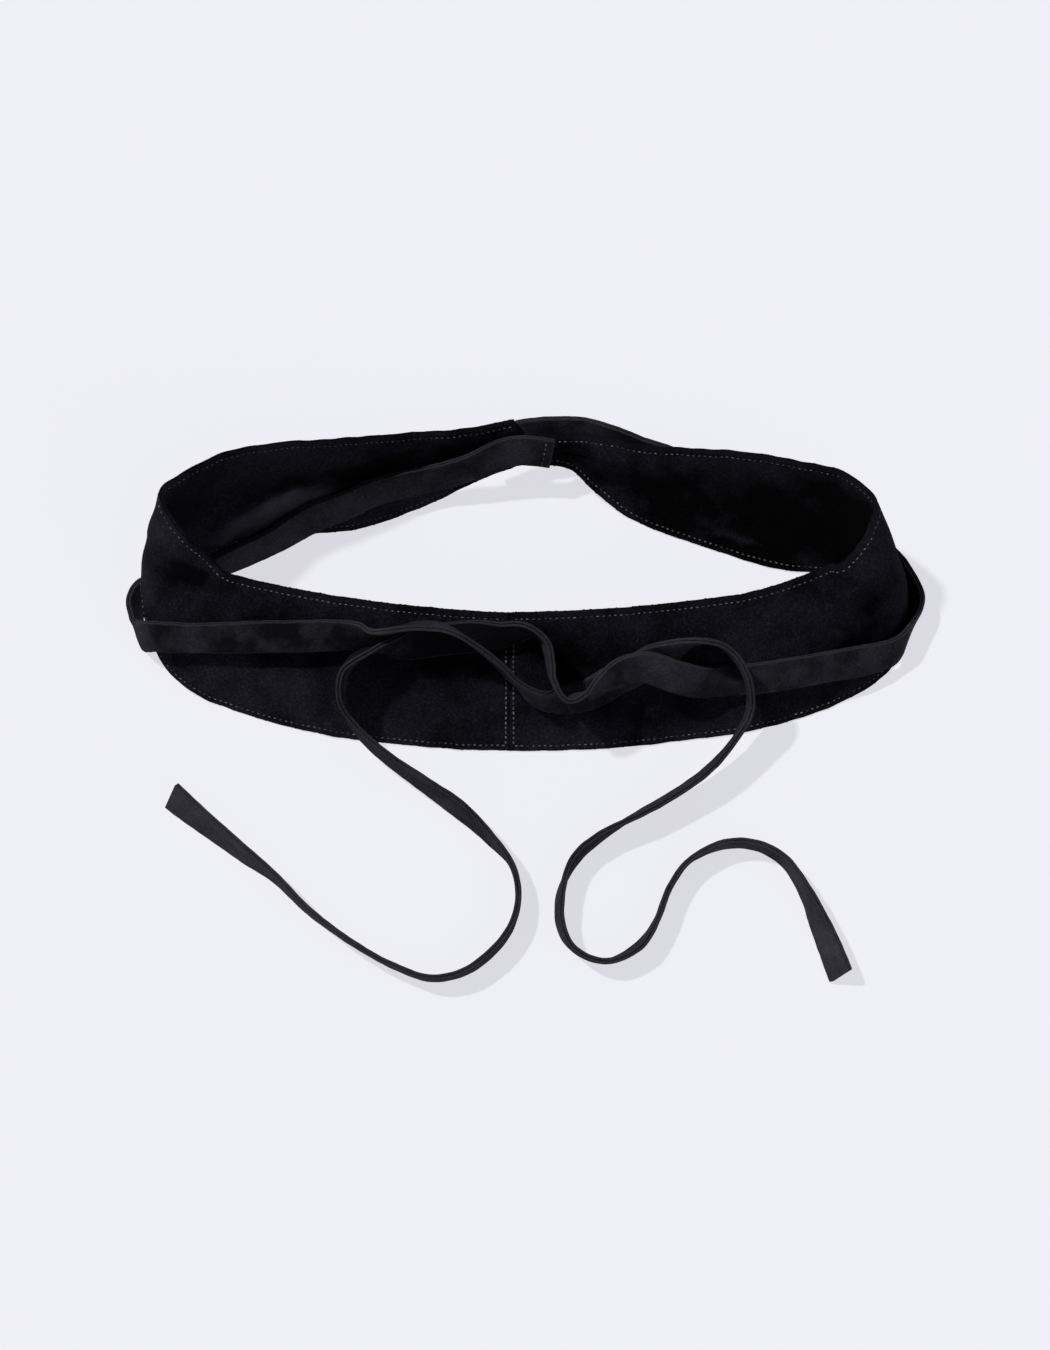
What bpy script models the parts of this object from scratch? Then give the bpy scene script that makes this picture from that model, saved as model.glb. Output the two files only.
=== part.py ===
# A leather tie belt on a floor. A wide body of two shaped halves is sewn together at the centre
# front and stands round in an open loop. Two narrow ties, one from each end of the body, go once
# round it, cross in front and run out over the floor.
# Units are metres, +Z is up, +X is to the right and +Y is to the back. The floor is at Z = 0.

import math

import bpy
from mathutils import Vector

# Driving sizes
LOOP_WIDTH = 0.376        # the standing loop from side to side
LOOP_DEPTH = 0.139        # the standing loop from front to back, at its foot
BACK_RISE = 0.021         # how far the narrow ends at the back stand off the floor
PANEL_HEIGHT = 0.075      # the body's height at the centre front, measured on the leather
PANEL_THICKNESS = 0.0026  # two layers of suede
TIE_WIDTH = 0.0165
TIE_THICKNESS = 0.0030    # two layers of suede
TIE_CORNER = 0.0008       # chamfer on the long edges of a tie
CLEARANCE = 0.0003        # between pieces that touch
PANEL_STEP = 0.0072       # between sections along a half of the body
TIE_STEP = 0.0055         # between sections along a tie
ROWS_UP = 8               # strips of faces from the lower edge of the body to its upper edge

# How the body stands, one row per section, from the end of the left half over the centre front
# seam to the end of the right half.
# along:    share of the half's length, minus on the left half, 0 at the seam
# foot_x:   place of the lower edge, share of LOOP_WIDTH
# foot_y:   place of the lower edge, share of LOOP_DEPTH
# rise:     height of the lower edge off the floor, share of BACK_RISE
# over_tie: more height, where the right tie passes beneath, share of the tie's width
# lean_x:   how far the upper edge lies to the right of the lower one, share of PANEL_HEIGHT
# lean_y:   how far the upper edge lies behind the lower one, share of PANEL_HEIGHT
# height:   height on the leather, share of PANEL_HEIGHT
# bow:      how far the middle bulges outward, share of PANEL_HEIGHT
BODY_ROWS = [
    (-1.00, 0.013, 0.733, 1.00, 0.00, -0.035, 0.205, 0.34, 0.000),
    (-0.95, -0.041, 0.701, 0.60, 0.00, -0.065, 0.176, 0.48, 0.007),
    (-0.90, -0.092, 0.656, 0.12, 0.00, -0.085, 0.227, 0.64, 0.020),
    (-0.85, -0.144, 0.598, 0.00, 0.00, -0.080, 0.280, 0.76, 0.040),
    (-0.80, -0.198, 0.545, 0.00, 0.12, -0.052, 0.312, 0.85, 0.060),
    (-0.70, -0.308, 0.492, 0.00, 0.53, -0.027, 0.277, 0.96, 0.067),
    (-0.65, -0.370, 0.439, 0.00, 0.74, 0.000, 0.276, 0.985, 0.060),
    (-0.61, -0.418, 0.373, 0.00, 1.06, -0.005, 0.217, 0.995, 0.047),
    (-0.575, -0.452, 0.368, 0.00, 1.04, 0.087, 0.135, 1.00, 0.043),
    (-0.54, -0.473, 0.324, 0.00, 1.01, 0.212, 0.116, 1.00, 0.043),
    (-0.50, -0.473, 0.215, 0.00, 0.92, 0.321, 0.169, 1.00, 0.043),
    (-0.45, -0.460, 0.089, 0.00, 0.58, 0.392, 0.316, 1.00, 0.040),
    (-0.375, -0.414, -0.055, 0.00, 0.12, 0.313, 0.511, 1.00, 0.030),
    (-0.30, -0.336, -0.147, 0.00, 0.00, 0.213, 0.625, 1.00, 0.024),
    (-0.20, -0.225, -0.222, 0.00, 0.00, 0.131, 0.692, 1.00, 0.020),
    (-0.10, -0.112, -0.259, 0.00, 0.00, 0.053, 0.697, 1.00, 0.020),
    (0.00, 0.000, -0.275, 0.00, 0.00, 0.000, 0.692, 1.00, 0.020),
    (0.10, 0.115, -0.267, 0.00, 0.00, -0.048, 0.701, 1.00, 0.020),
    (0.20, 0.228, -0.236, 0.00, 0.00, -0.091, 0.683, 1.00, 0.020),
    (0.30, 0.339, -0.183, 0.00, 0.00, -0.173, 0.652, 1.00, 0.020),
    (0.375, 0.419, -0.109, 0.00, 0.00, -0.267, 0.608, 1.00, 0.020),
    (0.45, 0.488, 0.017, 0.00, 0.00, -0.431, 0.443, 1.00, 0.045),
    (0.50, 0.5085, 0.145, 0.00, 0.00, -0.394, 0.237, 1.00, 0.095),
    (0.54, 0.513, 0.266, 0.00, 0.00, -0.317, 0.133, 1.00, 0.095),
    (0.575, 0.495, 0.352, 0.00, 0.00, -0.165, 0.127, 1.00, 0.060),
    (0.61, 0.467, 0.385, 0.00, 0.00, -0.060, 0.187, 0.995, 0.040),
    (0.65, 0.418, 0.385, 0.00, 0.00, 0.009, 0.343, 0.985, 0.060),
    (0.70, 0.362, 0.392, 0.00, 0.00, 0.049, 0.421, 0.96, 0.073),
    (0.80, 0.254, 0.480, 0.00, 0.00, 0.103, 0.371, 0.85, 0.067),
    (0.85, 0.202, 0.533, 0.00, 0.00, 0.112, 0.323, 0.76, 0.053),
    (0.90, 0.151, 0.596, 0.05, 0.00, 0.124, 0.259, 0.64, 0.033),
    (0.95, 0.106, 0.680, 0.35, 0.00, 0.109, 0.167, 0.48, 0.013),
    (0.972, 0.079, 0.730, 0.72, 0.00, 0.060, 0.135, 0.295, 0.004),
    (1.00, 0.036, 0.734, 1.00, 0.00, 0.017, 0.115, 0.235, 0.000),
]

# The body's dents and soft folds, one row each. The ties keep to the body's shape without them.
# along, up: the middle, as above
# length:    half of its length, share of PANEL_HEIGHT
# width:     half of its width, share of PANEL_HEIGHT
# turn:      degrees from the body's run, where more climbs towards the right half's end
# depth:     how deep it goes towards the inside of the loop, minus outward, share of PANEL_HEIGHT
DENT_ROWS = [
    (-0.74, 0.34, 0.62, 0.26, -10, -0.045),
    (-0.74, 0.75, 0.90, 0.22, 0, 0.030),
    (-0.44, 0.64, 0.60, 0.27, 8, 0.060),
    (-0.397, 1.00, 0.22, 0.22, 0, -0.028),
    (-0.25, 0.60, 0.85, 0.20, 12, 0.050),
    (0.478, 1.00, 0.13, 0.16, 0, -0.045),
    (0.487, 0.66, 0.27, 0.11, -65, 0.042),
    (0.875, 0.73, 0.50, 0.20, 0, 0.030),
    (0.90, 0.30, 0.60, 0.26, -20, -0.045),
]

# The ties' routes, one row per place, from the sewn end to the free end.
# A row on the body's "outer" or "inner" face has
#   along: share of the half's length, as above
#   up:    share of the height from the lower edge
#   turn:  degrees, 0 or 180 is flat on the face and 90 is on edge
#   lift:  gap to the face, share of TIE_THICKNESS
# A "free" row over the floor has
#   x:     share of LOOP_WIDTH
#   y:     share of LOOP_DEPTH
#   turn:  degrees, 0 is flat and 90 is on edge
#   lift:  gap to the floor, share of TIE_WIDTH
RIGHT_TIE_ROWS = [
    ("inner", 0.992, 0.60, 180, 0.65),
    ("inner", -0.993, 0.44, 180, 0.4),
    ("inner", -0.945, 0.37, 180, 0.3),
    ("inner", -0.895, 0.37, 180, 0.2),
    ("inner", -0.855, 0.39, 180, 0.3),
    ("inner", -0.820, 0.35, 180, 0.2),
    ("inner", -0.785, 0.26, 180, 0.2),
    ("inner", -0.750, 0.18, 180, 0.3),
    ("free", -0.303, 0.474, 114, 0.28),
    ("free", -0.360, 0.410, 109, 0.00),
    ("free", -0.410, 0.354, 95, 0.00),
    ("free", -0.450, 0.322, 93, 0.00),
    ("free", -0.479, 0.298, 102, 0.00),
    ("free", -0.487, 0.245, 109, 0.00),
    ("free", -0.485, 0.185, 103, 0.00),
    ("free", -0.4825, 0.143, 92, 0.04),
    ("outer", -0.444, 0.245, 4, 1.5),
    ("outer", -0.400, 0.44, 0, 0.6),
    ("outer", -0.355, 0.57, 0, 0.7),
    ("outer", -0.305, 0.665, 0, 1.0),
    ("outer", -0.258, 0.725, 2, 1.1),
    ("outer", -0.215, 0.775, 8, 1.0),
    ("outer", -0.170, 0.83, 34, 0.7),
    ("outer", -0.150, 0.885, 60, 1.7),
    ("outer", -0.130, 0.935, 70, 2.3),
    ("outer", -0.105, 0.965, 75, 2.2),
    ("outer", -0.075, 0.96, 73, 2.1),
    ("outer", -0.046, 0.88, 68, 1.8),
    ("outer", -0.018, 0.75, 65, 1.0),
    ("outer", 0.007, 0.59, 64, 0.3),
    ("outer", 0.025, 0.50, 52, 0.2),
    ("outer", 0.043, 0.43, 24, 0.0),
    ("outer", 0.064, 0.41, 7, 0.0),
    ("outer", 0.090, 0.43, 3, 0.0),
    ("outer", 0.125, 0.53, 2, 0.0),
    ("outer", 0.150, 0.59, 3, 0.0),
    ("outer", 0.172, 0.66, 8, 0.0),
    ("outer", 0.193, 0.74, 35, 0.1),
    ("outer", 0.222, 0.79, 62, 0.5),
    ("outer", 0.250, 0.75, 69, 0.8),
    ("outer", 0.270, 0.60, 78, 1.3),
    ("outer", 0.276, 0.42, 91, 1.5),
    ("outer", 0.269, 0.24, 105, 1.8),
    ("free", 0.290, -0.270, 79, 0.73),
    ("free", 0.262, -0.360, 74, 0.48),
    ("free", 0.222, -0.442, 71, 0.31),
    ("free", 0.165, -0.532, 73, 0.21),
    ("free", 0.115, -0.610, 86, 0.09),
    ("free", 0.080, -0.698, 91, 0.02),
    ("free", 0.065, -0.810, 82, 0.00),
    ("free", 0.066, -0.928, 87, 0.00),
    ("free", 0.085, -1.012, 99, 0.00),
    ("free", 0.122, -1.048, 104, 0.00),
    ("free", 0.160, -1.002, 107, 0.00),
    ("free", 0.186, -0.905, 96, 0.00),
    ("free", 0.204, -0.784, 95, 0.00),
    ("free", 0.228, -0.693, 100, 0.00),
    ("free", 0.269, -0.636, 97, 0.00),
    ("free", 0.313, -0.636, 96, 0.00),
    ("free", 0.350, -0.693, 92, 0.00),
    ("free", 0.376, -0.805, 83, 0.00),
    ("free", 0.392, -0.910, 70, 0.00),
    ("free", 0.405, -1.000, 63, 0.00),
    ("free", 0.418, -1.097, 58, 0.00),
]
LEFT_TIE_ROWS = [
    ("outer", -0.960, 0.52, 0, 0.1),
    ("outer", -1.000, 0.545, 0, 0.3),
    ("outer", 1.000, 0.935, 0, 0.7),
    ("outer", 0.970, 0.955, 0, 0.5),
    ("outer", 0.945, 0.90, 0, 0.5),
    ("outer", 0.905, 0.82, 0, 0.5),
    ("outer", 0.865, 0.73, 0, 0.5),
    ("outer", 0.821, 0.62, 0, 0.4),
    ("outer", 0.770, 0.52, 0, 0.4),
    ("outer", 0.720, 0.46, 0, 0.4),
    ("outer", 0.670, 0.38, 0, 0.4),
    ("outer", 0.628, 0.26, 0, 0.5),
    ("free", 0.494, 0.430, 90, 0.12),
    ("free", 0.517, 0.337, 100, 0.09),
    ("free", 0.5285, 0.250, 104, 0.06),
    ("free", 0.5182, 0.148, 93, 0.04),
    ("outer", 0.467, 0.17, 4, 0.7),
    ("outer", 0.425, 0.26, 0, 0.35),
    ("outer", 0.382, 0.33, 0, 0.2),
    ("outer", 0.333, 0.38, 0, 0.2),
    ("outer", 0.287, 0.41, 0, 0.2),
    ("outer", 0.247, 0.44, 0, 0.3),
    ("outer", 0.222, 0.47, 0, 1.4),
    ("outer", 0.190, 0.555, 0, 2.3),
    ("outer", 0.160, 0.63, 5, 1.9),
    ("outer", 0.130, 0.63, 17, 1.8),
    ("outer", 0.105, 0.585, 44, 1.8),
    ("outer", 0.083, 0.52, 65, 2.3),
    ("outer", 0.062, 0.52, 76, 2.6),
    ("outer", 0.049, 0.63, 81, 2.2),
    ("outer", 0.045, 0.77, 80, 1.0),
    ("outer", 0.038, 0.89, 70, 0.8),
    ("outer", 0.022, 0.94, 53, 0.5),
    ("outer", -0.009, 0.89, 24, 0.2),
    ("outer", -0.045, 0.85, 4, 0.1),
    ("outer", -0.092, 0.80, 2, 0.1),
    ("outer", -0.120, 0.765, 11, 0.1),
    ("outer", -0.147, 0.76, 48, 0.4),
    ("outer", -0.172, 0.72, 76, 0.8),
    ("outer", -0.195, 0.62, 82, 0.95),
    ("outer", -0.200, 0.48, 93, 1.1),
    ("outer", -0.194, 0.34, 107, 1.3),
    ("outer", -0.182, 0.25, 116, 1.7),
    ("free", -0.186, -0.275, 88, 0.73),
    ("free", -0.150, -0.355, 91, 0.50),
    ("free", -0.105, -0.436, 96, 0.30),
    ("free", -0.067, -0.507, 101, 0.15),
    ("free", -0.025, -0.613, 92, 0.04),
    ("free", 0.002, -0.701, 84, 0.00),
    ("free", 0.011, -0.805, 90, 0.00),
    ("free", 0.003, -0.917, 93, 0.00),
    ("free", -0.027, -1.027, 96, 0.00),
    ("free", -0.060, -1.088, 98, 0.00),
    ("free", -0.098, -1.107, 100, 0.00),
    ("free", -0.145, -1.066, 101, 0.00),
    ("free", -0.207, -0.968, 100, 0.00),
    ("free", -0.257, -0.864, 95, 0.00),
    ("free", -0.300, -0.748, 91, 0.00),
    ("free", -0.342, -0.660, 79, 0.00),
    ("free", -0.390, -0.555, 68, 0.00),
    ("free", -0.433, -0.456, 55, 0.00),
]

UP = Vector((0.0, 0.0, 1.0))
ALONG_NUDGE = 0.004       # share of a half's length, for directions on the body
UP_NUDGE = 0.02           # share of the height, for directions on the body
HALF_SHARE = 1.14         # about how long a half of the body is, share of LOOP_WIDTH
END_SLOPE = 1.5           # how a curve's end slopes take after its first and last steps
FOOT_READS = 100          # readings of the lower edge for its length
NUDGE_SHARE = 0.0001      # share of a route, for its direction
BODY_COLOUR = (0.026, 0.025, 0.034)
TIE_COLOUR = (0.034, 0.035, 0.044)
SUEDE_ROUGHNESS = 0.95
KNOT_POWER = 0.75         # spaces a route's rows so that the curve through them stays calm
READS_PER_ROW = 14        # fine readings of a route before it is cut into even steps
SHARP_ANGLE = math.radians(35)


def smooth_reader(rows):
    """A function that reads all columns of a table along its first one, on a smooth curve."""
    keys = [row[0] for row in rows]
    values = [row[1:] for row in rows]
    last = len(keys) - 1
    spans = [keys[i + 1] - keys[i] for i in range(last)]
    steps = [[(b - a) / spans[i] for a, b in zip(values[i], values[i + 1])] for i in range(last)]
    slopes = [None] * len(keys)
    for i in range(1, last):
        share = spans[i - 1] / (spans[i - 1] + spans[i])
        slopes[i] = [a * (1 - share) + b * share for a, b in zip(steps[i - 1], steps[i])]
    for end, step, near in ((0, steps[0], slopes[1]), (last, steps[-1], slopes[last - 1])):
        slopes[end] = [END_SLOPE * a + (1 - END_SLOPE) * b for a, b in zip(step, near)]

    def read(key):
        i = 0
        while i < last - 1 and key > keys[i + 1]:
            i += 1
        u = (key - keys[i]) / spans[i]
        from_value = (1 + 2 * u) * (1 - u) ** 2
        from_slope = u * (1 - u) ** 2 * spans[i]
        to_value = u * u * (3 - 2 * u)
        to_slope = u * u * (u - 1) * spans[i]
        columns = zip(values[i], slopes[i], values[i + 1], slopes[i + 1])
        return [from_value * a + from_slope * b + to_value * c + to_slope * d for a, b, c, d in columns]

    return read


def body_reader():
    """Reads the body's foot, lean, height and bow in metres."""
    over_tie_height = TIE_WIDTH + 2 * CLEARANCE
    rows = []
    for along, foot_x, foot_y, rise, over_tie, lean_x, lean_y, height, bow in BODY_ROWS:
        rows.append((
            along,
            foot_x * LOOP_WIDTH,
            foot_y * LOOP_DEPTH,
            rise * BACK_RISE + over_tie * over_tie_height,
            lean_x * PANEL_HEIGHT,
            lean_y * PANEL_HEIGHT,
            height * PANEL_HEIGHT,
            bow * PANEL_HEIGHT,
        ))
    return smooth_reader(rows)


read_body = body_reader()


def straight_side(along, up):
    """A point of the body's middle surface without its bow, and the bow there."""
    foot_x, foot_y, foot_z, lean_x, lean_y, height, bow = read_body(along)
    lean_z = math.sqrt(height ** 2 - lean_x ** 2 - lean_y ** 2)
    point = Vector((foot_x + up * lean_x, foot_y + up * lean_y, max(foot_z, 0.0) + up * lean_z))
    return point, bow


def body_point(along, up):
    """A point of the body's middle surface."""
    point, bow = straight_side(along, up)
    run = straight_side(along + ALONG_NUDGE, up)[0] - straight_side(along - ALONG_NUDGE, up)[0]
    rise = straight_side(along, 1.0)[0] - straight_side(along, 0.0)[0]
    outward = run.cross(rise).normalized()
    return point + outward * bow * 4 * up * (1 - up)


def frame_on(surface, along, up):
    """A point of a surface of the body, its upward direction and its outward direction."""
    run = surface(along + ALONG_NUDGE, up) - surface(along - ALONG_NUDGE, up)
    rise = surface(along, up + UP_NUDGE) - surface(along, up - UP_NUDGE)
    return surface(along, up), rise.normalized(), run.cross(rise).normalized()


def dent_depth(along, up):
    """How far the dents move the body inward at a place."""
    depth = 0.0
    for dent_along, dent_up, length, width, turn, deep in DENT_ROWS:
        away = (along - dent_along) * HALF_SHARE * LOOP_WIDTH / PANEL_HEIGHT
        over = up - dent_up
        angle = math.radians(turn)
        a = (away * math.cos(angle) + over * math.sin(angle)) / length
        b = (over * math.cos(angle) - away * math.sin(angle)) / width
        if abs(a) < 1 and abs(b) < 1:
            depth += deep * PANEL_HEIGHT * (1 - a * a) ** 2 * (1 - b * b) ** 2
    return depth


def dented_point(along, up):
    """A point of the body's middle surface with its dents."""
    point, rise, outward = frame_on(body_point, along, up)
    return point - outward * dent_depth(along, up)


def panel_section(along):
    """Outer and inner points of the body at one section, from the lower edge up."""
    outer = []
    inner = []
    for row in range(ROWS_UP + 1):
        up = row / ROWS_UP
        middle, rise, outward = frame_on(dented_point, along, up)
        half = outward * PANEL_THICKNESS / 2
        outer.append(middle + half)
        inner.append(middle - half)
        if row == 0:
            # the lower edge is cut level, so that the body stands on a flat face
            for points in (outer, inner):
                points[0] += rise * (middle.z - points[0].z) / rise.z
    return outer, inner


def make_solid(name, sections, colour):
    """A closed solid from rings of points, with a flat cap at each end."""
    mesh = bpy.data.meshes.new(name)
    count = len(sections[0])
    faces = [list(range(count)), list(range((len(sections) - 1) * count, len(sections) * count))[::-1]]
    for s in range(len(sections) - 1):
        for i in range(count):
            j = (i + 1) % count
            faces.append([s * count + i, (s + 1) * count + i, (s + 1) * count + j, s * count + j])
    mesh.from_pydata([point for section in sections for point in section], [], faces)
    mesh.validate()
    mesh.shade_smooth()
    mesh.set_sharp_from_angle(angle=SHARP_ANGLE)
    material = bpy.data.materials.new(name + "_suede")
    material.use_nodes = True
    shader = material.node_tree.nodes["Principled BSDF"]
    shader.inputs["Base Color"].default_value = (*colour, 1.0)
    shader.inputs["Roughness"].default_value = SUEDE_ROUGHNESS
    shader.inputs["Metallic"].default_value = 0.0
    mesh.materials.append(material)
    solid = bpy.data.objects.new(name, mesh)
    bpy.context.collection.objects.link(solid)
    return solid


def half_length(side):
    """Length of one half of the body along its lower edge."""
    points = [straight_side(side * i / FOOT_READS, 0.0)[0] for i in range(FOOT_READS + 1)]
    return sum((b - a).length for a, b in zip(points, points[1:]))


def make_panel(name, side, colour):
    """One half of the body: side is -1 for the left half and 1 for the right one."""
    stations = math.ceil(half_length(side) / PANEL_STEP)
    sections = []
    for station in range(stations + 1):
        outer, inner = panel_section(side * station / stations)
        if station == 0:
            # the two halves meet at the seam with the clearance between them
            for point in outer + inner:
                point.x = side * CLEARANCE / 2
        sections.append(outer + inner[::-1])
    if side < 0:
        sections.reverse()
    return make_solid(name, sections, colour)


def tie_reach(turn):
    """How far a turned tie reaches from its middle towards what it lies on."""
    angle = math.radians(turn)
    return abs(math.sin(angle)) * TIE_WIDTH / 2 + abs(math.cos(angle)) * TIE_THICKNESS / 2


def row_place(row):
    """Middle of a tie at a row of its route, and the direction away from what it lies on."""
    kind, first, second, turn, lift = row
    if kind == "free":
        height = tie_reach(turn) + lift * TIE_WIDTH
        return Vector((first * LOOP_WIDTH, second * LOOP_DEPTH, height)), UP
    point, rise, outward = frame_on(body_point, first, second)
    away = outward if kind == "outer" else -outward
    distance = PANEL_THICKNESS / 2 + CLEARANCE + tie_reach(turn) + lift * TIE_THICKNESS
    return point + away * distance, away


def tie_reader(rows, hand):
    """Reads a tie's middle and its width direction along its route, and gives the route's last key."""
    places = [row_place(row) for row in rows]
    middles = [place[0] for place in places]
    keys = [0.0]
    for a, b in zip(middles, middles[1:]):
        keys.append(keys[-1] + (b - a).length ** KNOT_POWER)
    read_middle = smooth_reader([(key, *middle) for key, middle in zip(keys, middles)])
    nudge = keys[-1] * NUDGE_SHARE
    table = []
    for key, row, (middle, away) in zip(keys, rows, places):
        run = Vector(read_middle(key + nudge)) - Vector(read_middle(key - nudge))
        run.normalize()
        away = (away - run * away.dot(run)).normalized()
        turn = math.radians(row[3])
        width = away.cross(run) * hand * math.cos(turn) + away * math.sin(turn)
        table.append((key, *middle, *width))
    return smooth_reader(table), keys[-1]


def even_stations(read, end, rows):
    """Middles and width directions at even steps along a route."""
    reads = len(rows) * READS_PER_ROW
    fine = [read(end * i / reads) for i in range(reads + 1)]
    middles = [Vector(values[:3]) for values in fine]
    gone = [0.0]
    for a, b in zip(middles, middles[1:]):
        gone.append(gone[-1] + (b - a).length)
    steps = round(gone[-1] / TIE_STEP)
    stations = []
    i = 0
    for step in range(steps + 1):
        target = gone[-1] * step / steps
        while i < reads - 1 and gone[i + 1] < target:
            i += 1
        share = (target - gone[i]) / (gone[i + 1] - gone[i])
        values = [a + (b - a) * share for a, b in zip(fine[i], fine[i + 1])]
        stations.append((Vector(values[:3]), Vector(values[3:])))
    return stations


def tie_outline():
    """The tie's section as shares of its width and thickness directions, in metres."""
    w = TIE_WIDTH / 2
    t = TIE_THICKNESS / 2
    c = TIE_CORNER
    return [(w, c - t), (w - c, -t), (c - w, -t), (-w, c - t), (-w, t - c), (c - w, t), (w - c, t), (w, t - c)]


def make_tie(name, rows, hand, colour):
    """A flat tie along its route: hand tells which side of the route its width direction starts on."""
    read, end = tie_reader(rows, hand)
    stations = even_stations(read, end, rows)
    sections = []
    for i, (middle, width) in enumerate(stations):
        before = stations[max(i - 1, 0)][0]
        after = stations[min(i + 1, len(stations) - 1)][0]
        run = (after - before).normalized()
        width = (width - run * width.dot(run)).normalized()
        thickness = run.cross(width)
        section = [middle + width * a + thickness * b for a, b in tie_outline()]
        for point in section:
            point.z = max(point.z, 0.0)
        sections.append(section)
    return make_solid(name, sections, colour)


def centre_over_origin(solids):
    """Moves the belt so that the middle of its box's underside is the origin."""
    points = [vertex.co for solid in solids for vertex in solid.data.vertices]
    low = Vector([min(point[axis] for point in points) for axis in range(3)])
    high = Vector([max(point[axis] for point in points) for axis in range(3)])
    shift = Vector((-(low.x + high.x) / 2, -(low.y + high.y) / 2, -low.z))
    for solid in solids:
        for vertex in solid.data.vertices:
            vertex.co += shift
        solid.data.update()


def main():
    for old in list(bpy.data.objects):
        bpy.data.objects.remove(old)
    solids = [
        make_panel("panel_left", -1, BODY_COLOUR),
        make_panel("panel_right", 1, BODY_COLOUR),
        make_tie("tie_left", LEFT_TIE_ROWS, -1, TIE_COLOUR),
        make_tie("tie_right", RIGHT_TIE_ROWS, 1, TIE_COLOUR),
    ]
    centre_over_origin(solids)


main()
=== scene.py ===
# A suede tie belt on a pale floor: its wide body stands round in a loop, and its two narrow ties
# cross in front and run out over the floor. Units are metres, +Z is up, +X right, +Y to the back.

import math

import bpy
import numpy as np
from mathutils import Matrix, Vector


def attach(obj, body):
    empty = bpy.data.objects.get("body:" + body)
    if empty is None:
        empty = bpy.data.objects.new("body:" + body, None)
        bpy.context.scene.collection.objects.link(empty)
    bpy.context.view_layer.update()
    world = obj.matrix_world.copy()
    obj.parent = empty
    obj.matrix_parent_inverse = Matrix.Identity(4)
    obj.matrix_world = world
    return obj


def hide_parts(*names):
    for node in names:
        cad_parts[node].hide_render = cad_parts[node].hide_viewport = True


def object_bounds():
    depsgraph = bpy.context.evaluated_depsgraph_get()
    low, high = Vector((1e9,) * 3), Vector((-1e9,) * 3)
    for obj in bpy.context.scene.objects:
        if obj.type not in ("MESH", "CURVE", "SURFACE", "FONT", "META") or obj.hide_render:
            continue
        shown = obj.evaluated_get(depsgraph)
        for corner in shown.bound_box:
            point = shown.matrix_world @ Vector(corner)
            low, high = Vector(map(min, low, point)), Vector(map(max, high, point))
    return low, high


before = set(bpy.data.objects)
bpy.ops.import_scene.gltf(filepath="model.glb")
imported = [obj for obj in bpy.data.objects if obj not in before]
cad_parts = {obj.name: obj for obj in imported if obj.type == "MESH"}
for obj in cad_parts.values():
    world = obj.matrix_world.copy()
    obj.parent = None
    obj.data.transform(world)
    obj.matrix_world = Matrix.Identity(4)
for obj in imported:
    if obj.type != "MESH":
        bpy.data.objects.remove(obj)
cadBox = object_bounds()

# sizes of the belt
belt = {
    "loopWidth": 0.376,       # standing loop, side to side
    "loopDepth": 0.139,       # standing loop, front to back, at its foot
    "backRise": 0.021,        # the narrow ends' height off the floor
    "bodyHeight": 0.075,      # at the centre front, on the leather
    "bodyThickness": 0.0026,  # two layers
    "tieWidth": 0.0165,
    "tieThickness": 0.0030,   # two layers
    "gap": 0.0003,            # between pieces that touch
}

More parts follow.
